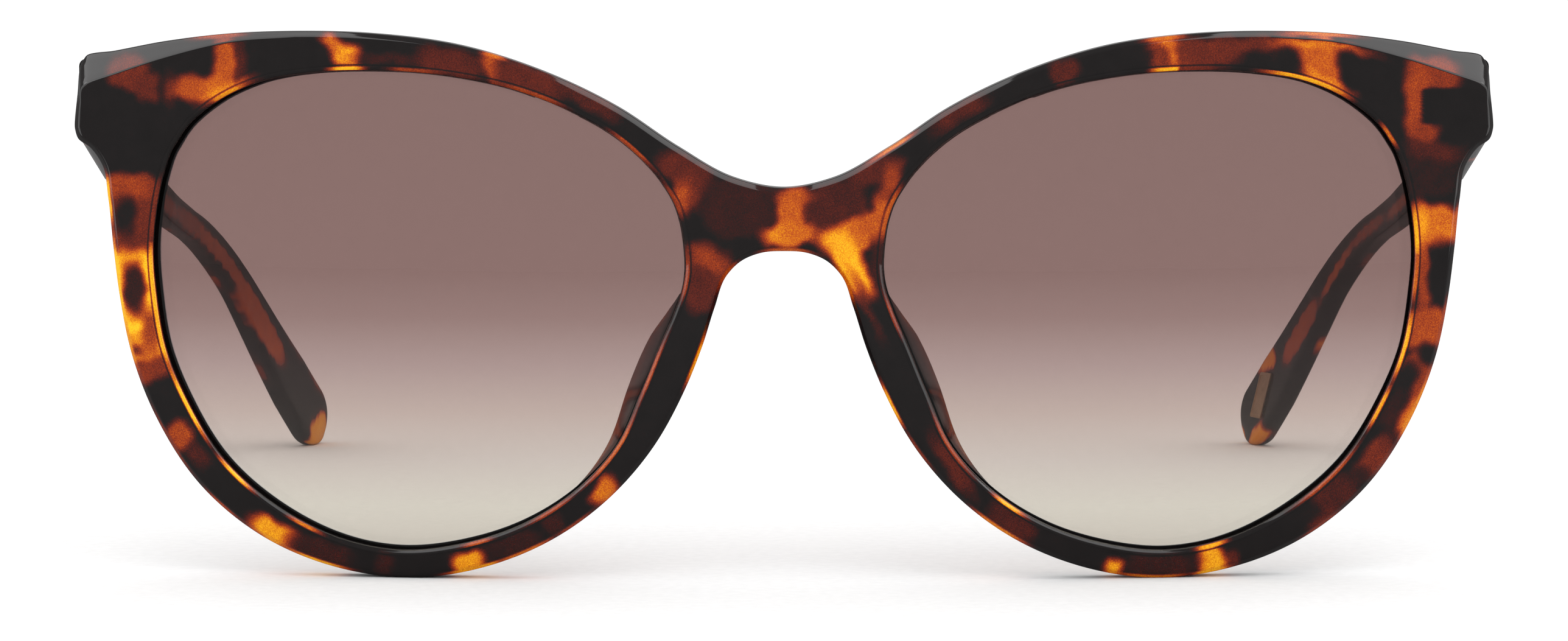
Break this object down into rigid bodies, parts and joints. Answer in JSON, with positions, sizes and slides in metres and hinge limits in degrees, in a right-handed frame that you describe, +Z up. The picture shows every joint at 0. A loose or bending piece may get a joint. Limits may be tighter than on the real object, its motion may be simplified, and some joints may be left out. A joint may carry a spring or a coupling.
{
  "type": "cat eye sunglasses",
  "caption": "Cat eye sunglasses: glossy tortoiseshell moulded front with nose pads, gradient brown curved lenses, and slim temples that fold on screwed barrel hinges.",
  "frame": {"origin": "bottom centre of the box of the whole object with the temples open, on the surface that it stands on", "axes": "+Z up, the lenses face -Y, the temples run back along +Y, and +X is the wearer's left"},
  "size_m": [0.145, 0.1424, 0.055],
  "materials": {
    "tortoise_front": "polished translucent tortoiseshell",
    "tortoise_temple": "polished translucent tortoiseshell, satin on the inner faces",
    "gradient_lens": "clear polished, brown at the top fading to pale at the bottom",
    "core_steel": "drawn flat wire",
    "hinge_steel": "satin",
    "screw_steel": "turned",
    "plaque_gold": "brushed rose gold"
  },
  "bodies": {
    "front": {"front_frame": "tortoise_front", "lens_left": "gradient_lens", "lens_right": "gradient_lens", "front_leaf_left": "hinge_steel", "front_leaf_right": "hinge_steel", "hinge_screw_left": "screw_steel", "hinge_screw_right": "screw_steel"},
    "temple_left": {"temple_left": "tortoise_temple", "temple_leaf_left": "hinge_steel", "core_wire_left": "core_steel", "tip_plaque": "plaque_gold"},
    "temple_right": {"temple_right": "tortoise_temple", "temple_leaf_right": "hinge_steel", "core_wire_right": "core_steel"}
  },
  "joints": [
    {"name": "temple_left_fold", "type": "hinge", "parent": "front", "child": "temple_left", "pos_m": [0.0671, -0.0568, 0.0476], "axis": [0, 0, 1], "range_deg": [0, 86]},
    {"name": "temple_right_fold", "type": "hinge", "parent": "front", "child": "temple_right", "pos_m": [-0.0671, -0.0568, 0.0476], "axis": [0, 0, -1], "range_deg": [0, 82]}
  ]
}
